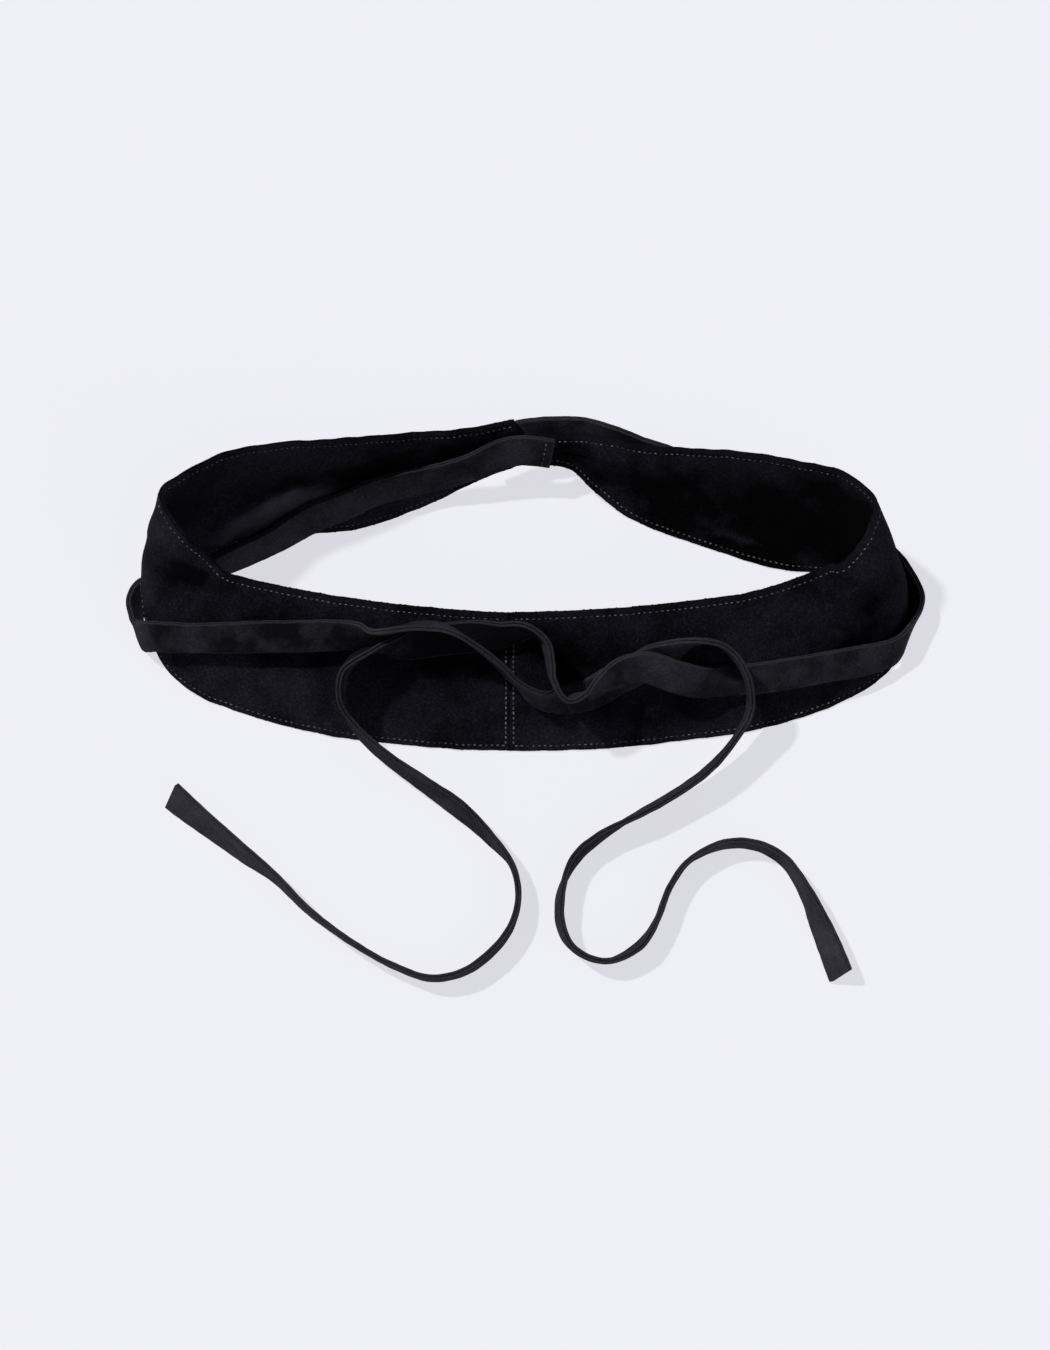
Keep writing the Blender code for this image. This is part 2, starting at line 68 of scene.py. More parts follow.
# along: -1 left end, 0 seam, 1 right end; foot x / loopWidth, foot y / loopDepth; rise / backRise;
# rise over the right tie / tieWidth; lean x, lean y, height and outward bow / bodyHeight
bodyRows = [
    (-1.00, 0.013, 0.733, 1.00, 0.00, -0.035, 0.205, 0.34, 0.000),
    (-0.95, -0.041, 0.701, 0.60, 0.00, -0.065, 0.176, 0.48, 0.007),
    (-0.90, -0.092, 0.656, 0.12, 0.00, -0.085, 0.227, 0.64, 0.020),
    (-0.85, -0.144, 0.598, 0.00, 0.00, -0.080, 0.280, 0.76, 0.040),
    (-0.80, -0.198, 0.545, 0.00, 0.12, -0.052, 0.312, 0.85, 0.060),
    (-0.70, -0.308, 0.492, 0.00, 0.53, -0.027, 0.277, 0.96, 0.067),
    (-0.65, -0.370, 0.439, 0.00, 0.74, 0.000, 0.276, 0.985, 0.060),
    (-0.61, -0.418, 0.373, 0.00, 1.06, -0.005, 0.217, 0.995, 0.047),
    (-0.575, -0.452, 0.368, 0.00, 1.04, 0.087, 0.135, 1.00, 0.043),
    (-0.54, -0.473, 0.324, 0.00, 1.01, 0.212, 0.116, 1.00, 0.043),
    (-0.50, -0.473, 0.215, 0.00, 0.92, 0.321, 0.169, 1.00, 0.043),
    (-0.45, -0.460, 0.089, 0.00, 0.58, 0.392, 0.316, 1.00, 0.040),
    (-0.375, -0.414, -0.055, 0.00, 0.12, 0.313, 0.511, 1.00, 0.030),
    (-0.30, -0.336, -0.147, 0.00, 0.00, 0.213, 0.625, 1.00, 0.024),
    (-0.20, -0.225, -0.222, 0.00, 0.00, 0.131, 0.692, 1.00, 0.020),
    (-0.10, -0.112, -0.259, 0.00, 0.00, 0.053, 0.697, 1.00, 0.020),
    (0.00, 0.000, -0.275, 0.00, 0.00, 0.000, 0.692, 1.00, 0.020),
    (0.10, 0.115, -0.267, 0.00, 0.00, -0.048, 0.701, 1.00, 0.020),
    (0.20, 0.228, -0.236, 0.00, 0.00, -0.091, 0.683, 1.00, 0.020),
    (0.30, 0.339, -0.183, 0.00, 0.00, -0.173, 0.652, 1.00, 0.020),
    (0.375, 0.419, -0.109, 0.00, 0.00, -0.267, 0.608, 1.00, 0.020),
    (0.45, 0.488, 0.017, 0.00, 0.00, -0.431, 0.443, 1.00, 0.045),
    (0.50, 0.5085, 0.145, 0.00, 0.00, -0.394, 0.237, 1.00, 0.095),
    (0.54, 0.513, 0.266, 0.00, 0.00, -0.317, 0.133, 1.00, 0.095),
    (0.575, 0.495, 0.352, 0.00, 0.00, -0.165, 0.127, 1.00, 0.060),
    (0.61, 0.467, 0.385, 0.00, 0.00, -0.060, 0.187, 0.995, 0.040),
    (0.65, 0.418, 0.385, 0.00, 0.00, 0.009, 0.343, 0.985, 0.060),
    (0.70, 0.362, 0.392, 0.00, 0.00, 0.049, 0.421, 0.96, 0.073),
    (0.80, 0.254, 0.480, 0.00, 0.00, 0.103, 0.371, 0.85, 0.067),
    (0.85, 0.202, 0.533, 0.00, 0.00, 0.112, 0.323, 0.76, 0.053),
    (0.90, 0.151, 0.596, 0.05, 0.00, 0.124, 0.259, 0.64, 0.033),
    (0.95, 0.106, 0.680, 0.35, 0.00, 0.109, 0.167, 0.48, 0.013),
    (0.972, 0.079, 0.730, 0.72, 0.00, 0.060, 0.135, 0.295, 0.004),
    (1.00, 0.036, 0.734, 1.00, 0.00, 0.017, 0.115, 0.235, 0.000),
]

# dents and soft folds of the body: along, up; half length, half width / bodyHeight; turn in
# degrees from the body's run; depth inward / bodyHeight
dentRows = [
    (-0.74, 0.34, 0.62, 0.26, -10, -0.045),
    (-0.74, 0.75, 0.90, 0.22, 0, 0.030),
    (-0.44, 0.64, 0.60, 0.27, 8, 0.060),
    (-0.397, 1.00, 0.22, 0.22, 0, -0.028),
    (-0.25, 0.60, 0.85, 0.20, 12, 0.050),
    (0.478, 1.00, 0.13, 0.16, 0, -0.045),
    (0.487, 0.66, 0.27, 0.11, -65, 0.042),
    (0.875, 0.73, 0.50, 0.20, 0, 0.030),
    (0.90, 0.30, 0.60, 0.26, -20, -0.045),
]
# finer ones, the same columns
creaseRows = [
    (0.700, 0.125, 0.26, 0.030, -8, 0.012),
    (0.700, 0.085, 0.26, 0.030, -8, -0.010),
    (0.965, 0.600, 0.30, 0.060, 0, 0.020),
    (0.455, 0.860, 0.10, 0.080, 40, 0.014),
    (-0.420, 0.900, 0.14, 0.060, 20, 0.012),
    (-0.520, 0.550, 0.30, 0.090, 30, 0.014),
    (-0.470, 0.420, 0.30, 0.080, 0, -0.010),
    (-0.330, 0.300, 0.50, 0.100, 5, 0.012),
    (-0.080, 0.350, 0.40, 0.120, -15, 0.008),
    (0.260, 0.250, 0.45, 0.110, 10, 0.010),
    (0.380, 0.620, 0.35, 0.090, -10, 0.010),
    (0.560, 0.450, 0.16, 0.300, 0, 0.008),
    (-0.860, 0.550, 0.40, 0.070, -5, 0.012),
    (0.800, 0.560, 0.45, 0.080, 4, -0.010),
    (-0.711, 0.250, 0.60, 0.075, -21, 0.018),
    (-0.711, 0.150, 0.50, 0.045, -21, -0.010),
    (-0.632, 0.000, 0.32, 0.120, 0, 0.014),
    (0.527, 0.000, 0.34, 0.170, 0, -0.026),
]

# patches of painted shade and painted light on the body, with some nap tone: the dark ones mostly where
# shade falls, as under the ties, the lightest on a ridge of the inner wall where light falls; face (1
# outer, -1 inner), then the columns of the dents, then how much lighter, minus darker
napAndPaintedShadeRows = [
    (1, 0.165, 0.26, 0.55, 0.21, 3, -0.95),
    (1, 0.070, 0.67, 0.24, 0.32, 0, -0.8),
    (1, -0.085, 0.66, 0.52, 0.15, 0, -0.95),
    (1, -0.455, 0.79, 0.42, 0.11, 15, -1.1),
    (1, -0.500, 0.58, 0.26, 0.12, -30, -0.6),
    (1, -0.452, 0.74, 0.26, 0.13, 15, -0.8),
    (1, -0.430, 0.95, 0.34, 0.08, 0, 0.35),
    (1, -0.540, 0.86, 0.25, 0.22, 0, 0.35),
    (1, -0.280, 0.47, 0.62, 0.10, 2, -0.7),
    (1, -0.310, 0.23, 0.60, 0.18, 0, 0.35),
    (1, -0.080, 0.25, 0.50, 0.22, 0, 0.20),
    (1, 0.080, 0.10, 0.40, 0.10, 0, 0.25),
    (1, 0.200, 0.88, 0.80, 0.14, 0, 0.30),
    (1, 0.450, 0.50, 0.55, 0.34, 10, -0.7),
    (1, 0.330, 0.12, 0.70, 0.14, 0, -0.3),
    (1, 0.510, 0.77, 0.30, 0.20, 0, 0.40),
    (-1, -0.775, 0.93, 1.50, 0.12, -4, 0.35),
    (-1, -0.800, 0.58, 1.60, 0.20, -6, -1.0),
    (-1, -0.711, 0.24, 0.55, 0.13, -21, 3.4),
    (-1, -0.840, 0.12, 0.60, 0.18, -10, 0.40),
    (-1, 0.740, 0.42, 2.00, 0.50, 0, -1.5),
    (-1, 0.765, 0.165, 0.34, 0.035, 9, 1.5),
    (-1, 0.800, 0.97, 1.60, 0.12, 0, 0.05),
    (-1, 0.580, 0.45, 0.60, 0.60, 0, -0.6),
]

# "outer" and "inner": along, up the body, turn in degrees, lift / tieThickness
# "free": x / loopWidth, y / loopDepth, turn in degrees, lift / tieWidth
rightTieRows = [
    ("inner", 0.992, 0.60, 180, 0.65),
    ("inner", -0.993, 0.44, 180, 0.4),
    ("inner", -0.945, 0.37, 180, 0.3),
    ("inner", -0.895, 0.37, 180, 0.2),
    ("inner", -0.855, 0.39, 180, 0.3),
    ("inner", -0.820, 0.35, 180, 0.2),
    ("inner", -0.785, 0.26, 180, 0.2),
    ("inner", -0.750, 0.18, 180, 0.3),
    ("free", -0.303, 0.474, 114, 0.28),
    ("free", -0.360, 0.410, 109, 0.00),
    ("free", -0.410, 0.354, 95, 0.00),
    ("free", -0.450, 0.322, 93, 0.00),
    ("free", -0.479, 0.298, 102, 0.00),
    ("free", -0.487, 0.245, 109, 0.00),
    ("free", -0.485, 0.185, 103, 0.00),
    ("free", -0.4825, 0.143, 92, 0.04),
    ("outer", -0.444, 0.245, 4, 1.5),
    ("outer", -0.400, 0.44, 0, 0.6),
    ("outer", -0.355, 0.57, 0, 0.7),
    ("outer", -0.305, 0.665, 0, 1.0),
    ("outer", -0.258, 0.725, 2, 1.1),
    ("outer", -0.215, 0.775, 8, 1.0),
    ("outer", -0.170, 0.83, 34, 0.7),
    ("outer", -0.150, 0.885, 60, 1.7),
    ("outer", -0.130, 0.935, 70, 2.3),
    ("outer", -0.105, 0.965, 75, 2.2),
    ("outer", -0.075, 0.96, 73, 2.1),
    ("outer", -0.046, 0.88, 68, 1.8),
    ("outer", -0.018, 0.75, 65, 1.0),
    ("outer", 0.007, 0.59, 64, 0.3),
    ("outer", 0.025, 0.50, 52, 0.2),
    ("outer", 0.043, 0.43, 24, 0.0),
    ("outer", 0.064, 0.41, 7, 0.0),
    ("outer", 0.090, 0.43, 3, 0.0),
    ("outer", 0.125, 0.53, 2, 0.0),
    ("outer", 0.150, 0.59, 3, 0.0),
    ("outer", 0.172, 0.66, 8, 0.0),
    ("outer", 0.193, 0.74, 35, 0.1),
    ("outer", 0.222, 0.79, 62, 0.5),
    ("outer", 0.250, 0.75, 69, 0.8),
    ("outer", 0.270, 0.60, 78, 1.3),
    ("outer", 0.276, 0.42, 91, 1.5),
    ("outer", 0.269, 0.24, 105, 1.8),
    ("free", 0.290, -0.270, 79, 0.73),
    ("free", 0.262, -0.360, 74, 0.48),
    ("free", 0.222, -0.442, 71, 0.31),
    ("free", 0.165, -0.532, 73, 0.21),
    ("free", 0.115, -0.610, 86, 0.09),
    ("free", 0.080, -0.698, 91, 0.02),
    ("free", 0.065, -0.810, 82, 0.00),
    ("free", 0.066, -0.928, 87, 0.00),
    ("free", 0.085, -1.012, 99, 0.00),
    ("free", 0.122, -1.048, 104, 0.00),
    ("free", 0.160, -1.002, 107, 0.00),
    ("free", 0.186, -0.905, 96, 0.00),
    ("free", 0.204, -0.784, 95, 0.00),
    ("free", 0.228, -0.693, 100, 0.00),
    ("free", 0.269, -0.636, 97, 0.00),
    ("free", 0.313, -0.636, 96, 0.00),
    ("free", 0.350, -0.693, 92, 0.00),
    ("free", 0.376, -0.805, 83, 0.00),
    ("free", 0.392, -0.910, 70, 0.00),
    ("free", 0.405, -1.000, 63, 0.00),
    ("free", 0.418, -1.097, 58, 0.00),
]
leftTieRows = [
    ("outer", -0.960, 0.52, 0, 0.1),
    ("outer", -1.000, 0.545, 0, 0.3),
    ("outer", 1.000, 0.935, 0, 0.7),
    ("outer", 0.970, 0.955, 0, 0.5),
    ("outer", 0.945, 0.90, 0, 0.5),
    ("outer", 0.905, 0.82, 0, 0.5),
    ("outer", 0.865, 0.73, 0, 0.5),
    ("outer", 0.821, 0.62, 0, 0.4),
    ("outer", 0.770, 0.52, 0, 0.4),
    ("outer", 0.720, 0.46, 0, 0.4),
    ("outer", 0.670, 0.38, 0, 0.4),
    ("outer", 0.628, 0.26, 0, 0.5),
    ("free", 0.494, 0.430, 90, 0.12),
    ("free", 0.517, 0.337, 100, 0.09),
    ("free", 0.5285, 0.250, 104, 0.06),
    ("free", 0.5182, 0.148, 93, 0.04),
    ("outer", 0.467, 0.17, 4, 0.7),
    ("outer", 0.425, 0.26, 0, 0.35),
    ("outer", 0.382, 0.33, 0, 0.2),
    ("outer", 0.333, 0.38, 0, 0.2),
    ("outer", 0.287, 0.41, 0, 0.2),
    ("outer", 0.247, 0.44, 0, 0.3),
    ("outer", 0.222, 0.47, 0, 1.4),
    ("outer", 0.190, 0.555, 0, 2.3),
    ("outer", 0.160, 0.63, 5, 1.9),
    ("outer", 0.130, 0.63, 17, 1.8),
    ("outer", 0.105, 0.585, 44, 1.8),
    ("outer", 0.083, 0.52, 65, 2.3),
    ("outer", 0.062, 0.52, 76, 2.6),
    ("outer", 0.049, 0.63, 81, 2.2),
    ("outer", 0.045, 0.77, 80, 1.0),
    ("outer", 0.038, 0.89, 70, 0.8),
    ("outer", 0.022, 0.94, 53, 0.5),
    ("outer", -0.009, 0.89, 24, 0.2),
    ("outer", -0.045, 0.85, 4, 0.1),
    ("outer", -0.092, 0.80, 2, 0.1),
    ("outer", -0.120, 0.765, 11, 0.1),
    ("outer", -0.147, 0.76, 48, 0.4),
    ("outer", -0.172, 0.72, 76, 0.8),
    ("outer", -0.195, 0.62, 82, 0.95),
    ("outer", -0.200, 0.48, 93, 1.1),
    ("outer", -0.194, 0.34, 107, 1.3),
    ("outer", -0.182, 0.25, 116, 1.7),
    ("free", -0.186, -0.275, 88, 0.73),
    ("free", -0.150, -0.355, 91, 0.50),
    ("free", -0.105, -0.436, 96, 0.30),
    ("free", -0.067, -0.507, 101, 0.15),
    ("free", -0.025, -0.613, 92, 0.04),
    ("free", 0.002, -0.701, 84, 0.00),
    ("free", 0.011, -0.805, 90, 0.00),
    ("free", 0.003, -0.917, 93, 0.00),
    ("free", -0.027, -1.027, 96, 0.00),
    ("free", -0.060, -1.088, 98, 0.00),
    ("free", -0.098, -1.107, 100, 0.00),
    ("free", -0.145, -1.066, 101, 0.00),
    ("free", -0.207, -0.968, 100, 0.00),
    ("free", -0.257, -0.864, 95, 0.00),
    ("free", -0.300, -0.748, 91, 0.00),
    ("free", -0.342, -0.660, 79, 0.00),
    ("free", -0.390, -0.555, 68, 0.00),
    ("free", -0.433, -0.456, 55, 0.00),
]


# how a smooth curve through a table's rows is read, for many keys at once
def smoothReader(keys, values):
    keys = np.asarray(keys, float)
    values = np.asarray(values, float)
    spans = np.diff(keys)[:, None]
    steps = np.diff(values, axis=0) / spans
    share = spans[:-1] / (spans[:-1] + spans[1:])
    slopes = np.zeros_like(values)
    slopes[1:-1] = steps[:-1] * (1 - share) + steps[1:] * share
    slopes[0] = 1.5 * steps[0] - 0.5 * slopes[1]
    slopes[-1] = 1.5 * steps[-1] - 0.5 * slopes[-2]

    def read(at):
        at = np.asarray(at, float)
        i = np.clip(np.searchsorted(keys, at) - 1, 0, len(keys) - 2)
        span = spans[i]
        u = (at - keys[i])[..., None] / span
        return (
            (1 + 2 * u) * (1 - u) ** 2 * values[i]
            + u * (1 - u) ** 2 * span * slopes[i]
            + u * u * (3 - 2 * u) * values[i + 1]
            + u * u * (u - 1) * span * slopes[i + 1]
        )

    return read


def unit(v):
    return v / np.linalg.norm(v, axis=-1, keepdims=True)


# half steps, along and up the body, for reading directions off it
bodySteps = {"along": 0.004, "up": 0.02}
leatherSteps = {"along": 0.002, "up": 0.01}


# the body's table in metres: foot x y z, lean x y, height, bow
def bodyReader():
    rows = np.array(bodyRows)
    overTie = belt["tieWidth"] + 2 * belt["gap"]
    columns = [
        rows[:, 1] * belt["loopWidth"],
        rows[:, 2] * belt["loopDepth"],
        rows[:, 3] * belt["backRise"] + rows[:, 4] * overTie,
        rows[:, 5] * belt["bodyHeight"],
        rows[:, 6] * belt["bodyHeight"],
        rows[:, 7] * belt["bodyHeight"],
        rows[:, 8] * belt["bodyHeight"],
    ]
    return smoothReader(rows[:, 0], np.stack(columns, -1))


readBody = bodyReader()


# middle surface of the body without its bow
def straightSide(along, up):
    row = readBody(along)
    footX, footY, footZ, leanX, leanY, height, bow = np.moveaxis(row, -1, 0)
    leanZ = np.sqrt(height ** 2 - leanX ** 2 - leanY ** 2)
    point = np.stack([footX + up * leanX, footY + up * leanY, np.maximum(footZ, 0) + up * leanZ], -1)
    return point, bow


def bodyPoint(along, up):
    point, bow = straightSide(along, up)
    step = bodySteps["along"]
    run = straightSide(along + step, up)[0] - straightSide(along - step, up)[0]
    rise = straightSide(along, up * 0 + 1)[0] - straightSide(along, up * 0)[0]
    return point + unit(np.cross(run, rise)) * (bow * 4 * up * (1 - up))[..., None]


# point of the middle surface, direction up the leather, outward direction
def bodyFrame(along, up):
    step, stepUp = bodySteps["along"], bodySteps["up"]
    run = bodyPoint(along + step, up) - bodyPoint(along - step, up)
    rise = bodyPoint(along, up + stepUp) - bodyPoint(along, up - stepUp)
    return bodyPoint(along, up), unit(rise), unit(np.cross(run, rise))


# 1 in the middle of a patch of the body, falling to 0 at its rim and outside
def inPatch(along, up, patchAlong, patchUp, length, width, turn):
    away = (along - patchAlong) * bodyLook["halfShare"] * belt["loopWidth"] / belt["bodyHeight"]
    over = up - patchUp
    angle = math.radians(turn)
    a = (away * math.cos(angle) + over * math.sin(angle)) / length
    b = (over * math.cos(angle) - away * math.sin(angle)) / width
    return np.clip(1 - a * a, 0, 1) * np.clip(1 - b * b, 0, 1)


# how far the dents and a soft unevenness move the leather inward
def dentDepth(along, up):
    depth = 0
    for *patch, deep in dentRows + creaseRows:
        depth = depth + deep * belt["bodyHeight"] * inPatch(along, up, *patch) ** 2
    x = along * bodyLook["halfShare"] * belt["loopWidth"]
    y = up * belt["bodyHeight"]
    return depth + waves(x, y, *bodyLook["rippleWaves"], bodyLook["seed"]) * bodyLook["ripple"]


# how much painted light (plus) or painted shade (minus), with some nap tone, a face gets
def napAndPaintedShadeAt(face, along, up):
    lighter = 0
    for onFace, *patch, much in napAndPaintedShadeRows:
        if onFace == face:
            lighter = lighter + much * inPatch(along, up, *patch)
    return lighter


def leatherPoint(along, up):
    point, rise, outward = bodyFrame(along, up)
    return point - outward * dentDepth(along, up)[..., None]


def leatherFrame(along, up):
    step, stepUp = leatherSteps["along"], leatherSteps["up"]
    run = leatherPoint(along + step, up) - leatherPoint(along - step, up)
    rise = leatherPoint(along, up + stepUp) - leatherPoint(along, up - stepUp)
    return leatherPoint(along, up), unit(rise), unit(np.cross(run, rise))


# soft uneven shape from a few crossing waves, mostly between -1 and 1; sizes are their lengths
def waves(x, y, longest, shortest, seed, count=9):
    rng = np.random.default_rng(seed)
    total = 0
    for length in np.geomspace(longest, shortest, count):
        angle = rng.uniform(0, math.tau)
        phase = rng.uniform(0, math.tau)
        total = total + np.sin((x * math.cos(angle) + y * math.sin(angle)) * math.tau / length + phase)
    return total / math.sqrt(count)


# a mesh object from points and faces, in one material
def meshPiece(name, points, faces, material):
    mesh = bpy.data.meshes.new(name)
    mesh.from_pydata(points, [], faces)
    mesh.materials.append(material)
    piece = bpy.data.objects.new(name, mesh)
    bpy.context.collection.objects.link(piece)
    return piece


sharpAngle = math.radians(60)  # faces that meet more sharply show a hard edge


# rings of points joined to a tube, closed round and capped at both ends; the raw edge and the painted
# shade and light (with some nap tone) are kept on the points for the material
def tube(name, rings, edge, napAndPaintedShade, material):
    ringCount, pointCount = rings.shape[:2]
    s = np.arange(ringCount - 1)[:, None] * pointCount
    i = np.arange(pointCount)[None, :]
    j = (i + 1) % pointCount
    quads = np.stack([s + i, s + i + pointCount, s + j + pointCount, s + j], -1).reshape(-1, 4)
    lastRing = (ringCount - 1) * pointCount
    caps = [list(range(pointCount)), list(range(lastRing, lastRing + pointCount))[::-1]]
    piece = meshPiece(name, rings.reshape(-1, 3).tolist(), quads.tolist() + caps, material)
    piece.data.shade_smooth()
    piece.data.set_sharp_from_angle(angle=sharpAngle)
    for label, values in (("rawEdge", edge), ("napAndPaintedShade", napAndPaintedShade)):
        layer = piece.data.attributes.new(label, "FLOAT", "POINT")
        layer.data.foreach_set("value", values.astype(np.float32).ravel())
    return piece


bodyLook = {
    "step": 0.0007,          # between rings along the body
    "footReads": 400,        # places where a half's foot is read for its length
    # rows of points near the upper and lower edges, as distances from them
    "fromEdge": [0.0002, 0.0006, 0.0012, 0.0020, 0.0027, 0.0031, 0.0035, 0.0041, 0.0050, 0.0066],
    "middleRows": 12,        # rows of points between those
    "stitchInset": 0.0031,   # stitch rows from the upper and lower edges
    "seamInset": 0.0019,     # stitch rows from the centre front seam
    "pinch": 0.00022,        # how deep the stitches pull the leather in
    "pinchReach": 0.0007,    # how far to the sides they do
    "pinchEven": 0.6,        # share of the pull that stays between two stitches
    "seamPull": 3.0,         # how much more the seam pulls in
    "ripple": 0.00030,       # soft unevenness of the leather
    "rippleWaves": (0.09, 0.012),
    "ragged": 0.00020,       # unevenness of the cut edges
    "raggedWaves": (0.006, 0.0012),
    "raggedSeed": 11,
    "edgeRound": (0.00035, 0.00018),  # how far in and how deep the faces round off at the edges
    "edgeInset": 0.0001,     # how far the cut edges stay inside the outline
    "fray": (0.45, 0.0006),  # how raw the faces look at the edges, and how far in
    "halfShare": 1.14,       # about how long a half is, share of loopWidth
    "flat": (0.43, 0.075),   # a half laid out flat
    "flatArea": 0.0283,
    "seed": 4,
}
# across a cut edge, from the outer face to the inner one: share of half the thickness, depth of
# the groove between the layers in metres, how raw the leather looks
cutEdge = [
    (0.88, 0.00010, 0.8), (0.62, 0.0, 1.0), (0.34, 0.00006, 1.0), (0.12, 0.00035, 0.3),
    (0.0, 0.00055, 0.0),
    (-0.12, 0.00035, 0.3), (-0.34, 0.00006, 1.0), (-0.62, 0.0, 1.0), (-0.88, 0.00010, 0.8),
]


# distance gone along a half's foot at many places
def footLengths(alongs):
    points = straightSide(alongs, alongs * 0)[0]
    return np.r_[0, np.cumsum(np.linalg.norm(np.diff(points, axis=0), axis=1))]


def bodyHalf(name, side, material):
    fine = np.linspace(0, 1, bodyLook["footReads"]) * side
    length = footLengths(fine)[-1]
    count = int(length / bodyLook["step"])
    alongs = np.interp(np.linspace(0, length, count), footLengths(fine), np.abs(fine)) * side
    gone = footLengths(alongs)
    height = readBody(alongs)[:, 5]
    near = np.array(bodyLook["fromEdge"])
    half = belt["bodyThickness"] / 2
    # rows of the face from the lower edge up, as distances on the leather
    middle = np.linspace(0, 1, bodyLook["middleRows"] + 2)[1:-1]
    rows = [d + 0 * height for d in near]
    rows += [near[-1] + (height - 2 * near[-1]) * m for m in middle]
    rows += [height - d for d in near[::-1]]
    rows = np.stack(rows, 1)
    ups = rows / height[:, None]
    along2 = np.repeat(alongs[:, None], rows.shape[1], 1)
    gone2 = np.repeat(gone[:, None], rows.shape[1], 1)
    point, rise, outward = leatherFrame(along2, ups)
    fromEdge = np.minimum(rows, height[:, None] - rows)
    # stitches pull the leather in
    even, reach = bodyLook["pinchEven"], bodyLook["pinchReach"]
    stitchWave = even + (1 - even) * np.cos(gone2 / stitches["pitch"] * math.tau)
    pull = np.exp(-((fromEdge - bodyLook["stitchInset"]) / reach) ** 2) * stitchWave
    pull = np.maximum(pull, np.exp(-((gone2 - bodyLook["seamInset"]) / reach) ** 2))
    pull = pull + bodyLook["seamPull"] * np.exp(-(gone2 / reach) ** 2)
    roundFar, roundDeep = bodyLook["edgeRound"]
    rounded = np.exp(-fromEdge / roundFar) * roundDeep
    faces = {}
    for face in (1, -1):
        offset = face * (half - pull * bodyLook["pinch"] - rounded)
        faces[face] = point + outward * offset[..., None]
    # cut edges, two layers with a groove between them
    edges = {}
    for top in (0, 1):
        edgePoint, edgeRise, edgeOutward = leatherFrame(alongs, alongs * 0 + top)
        out = edgeRise if top else -edgeRise
        seed = bodyLook["raggedSeed"] + top + side
        ragged = waves(gone, gone * 0, *bodyLook["raggedWaves"], seed) * bodyLook["ragged"]
        ring = []
        for share, depth, raw in cutEdge:
            beyond = (ragged - depth - bodyLook["edgeInset"])[:, None]
            ring.append(edgePoint + edgeOutward * half * share + out * beyond)
        edges[top] = np.stack(ring, 1)
    edges[0][..., 2] = np.maximum(edges[0][..., 2], 0)
    rings = np.concatenate([faces[1], edges[1], faces[-1][:, ::-1], edges[0][:, ::-1]], 1)
    rings[..., 2] = np.maximum(rings[..., 2], 0)
    frayed, frayFar = bodyLook["fray"]
    nearRaw = frayed * np.exp(-near / frayFar)
    faceRaw = np.r_[nearRaw, np.zeros(len(middle)), nearRaw[::-1]]
    edgeRaw = np.array([e[2] for e in cutEdge])
    ringRaw = np.r_[faceRaw, edgeRaw, faceRaw[::-1], edgeRaw[::-1]]
    raws = np.repeat(ringRaw[None], count, 0)
    blank = np.zeros((count, len(cutEdge)))
    # painted shade and painted light, with some nap tone, on both faces
    innerNapAndPaintedShade = napAndPaintedShadeAt(-1, along2, ups)[:, ::-1]
    napsAndPaintedShade = np.concatenate([napAndPaintedShadeAt(1, along2, ups), blank, innerNapAndPaintedShade, blank], 1)
    # the two halves meet at the seam
    rings[0, :, 0] = 0.0
    if side < 0:
        rings = rings[::-1]
        raws = raws[::-1]
        napsAndPaintedShade = napsAndPaintedShade[::-1]
    return tube(name, rings + home, raws, napsAndPaintedShade, material)


fuzzLook = {
    "perMetre": 2600,        # fibres along a cut edge
    "tiePerMetre": 2000,
    "long": (0.00015, 0.00055),
    "thick": 0.00007,
    "spread": 0.42,          # how wildly they point
    "flare": 0.4,            # how far they lean away from the middle of the edge
    "rooted": 0.0001,        # how deep they start
    "offFloor": 0.00002,     # how far they stay off the floor
    "offEnds": 0.001,        # and off the ends of the body's edges
    "bodyAcross": 0.95,      # share of the thickness that they stand on
    "tieAcross": 0.9,
    "seeds": {"bodyPlaces": 60, "body": 70, "tiePlaces": 80, "tie": 90},
}


# short fibres standing out of a cut edge: closed three-sided spikes
def fibres(name, roots, outs, material, seed):
    rng = np.random.default_rng(seed)
    count = len(roots)
    aim = unit(outs + rng.normal(0, fuzzLook["spread"], (count, 3)))
    first = unit(np.cross(aim, rng.normal(0, 1, (count, 3))))
    second = np.cross(aim, first)
    long = rng.uniform(*fuzzLook["long"], (count, 1))
    points = [roots + aim * long]
    for k in range(3):
        angle = k * math.tau / 3
        aside = (first * math.cos(angle) + second * math.sin(angle)) * fuzzLook["thick"]
        points.append(roots - aim * fuzzLook["rooted"] + aside)
    points = np.stack(points, 1)
    points[..., 2] = np.maximum(points[..., 2], fuzzLook["offFloor"])
    base = (np.arange(count) * 4)[:, None, None]
    faces = (np.array([[0, 1, 2], [0, 2, 3], [0, 3, 1], [3, 2, 1]])[None] + base).reshape(-1, 3)
    return meshPiece(name, (points.reshape(-1, 3) + home).tolist(), faces.tolist(), material)


def bodyFuzz(name, side, material):
    rng = np.random.default_rng(fuzzLook["seeds"]["bodyPlaces"] + side)
    fine = np.linspace(0, 1, bodyLook["footReads"]) * side
    gone = footLengths(fine)
    ends = fuzzLook["offEnds"]
    roots, outs = [], []
    for top in (0, 1):
        at = np.sort(rng.uniform(ends, gone[-1] - ends, int(gone[-1] * fuzzLook["perMetre"])))
        along = np.interp(at, gone, np.abs(fine)) * side
        point, rise, outward = leatherFrame(along, along * 0 + top)
        across = rng.uniform(-1, 1, (len(at), 1)) * fuzzLook["bodyAcross"] * belt["bodyThickness"] / 2
        out = rise if top else -rise
        roots.append(point + outward * across - out * fuzzLook["rooted"])
        outs.append(out + outward * np.sign(across) * fuzzLook["flare"])
    seed = fuzzLook["seeds"]["body"] + side
    return fibres(name, np.concatenate(roots), np.concatenate(outs), material, seed)


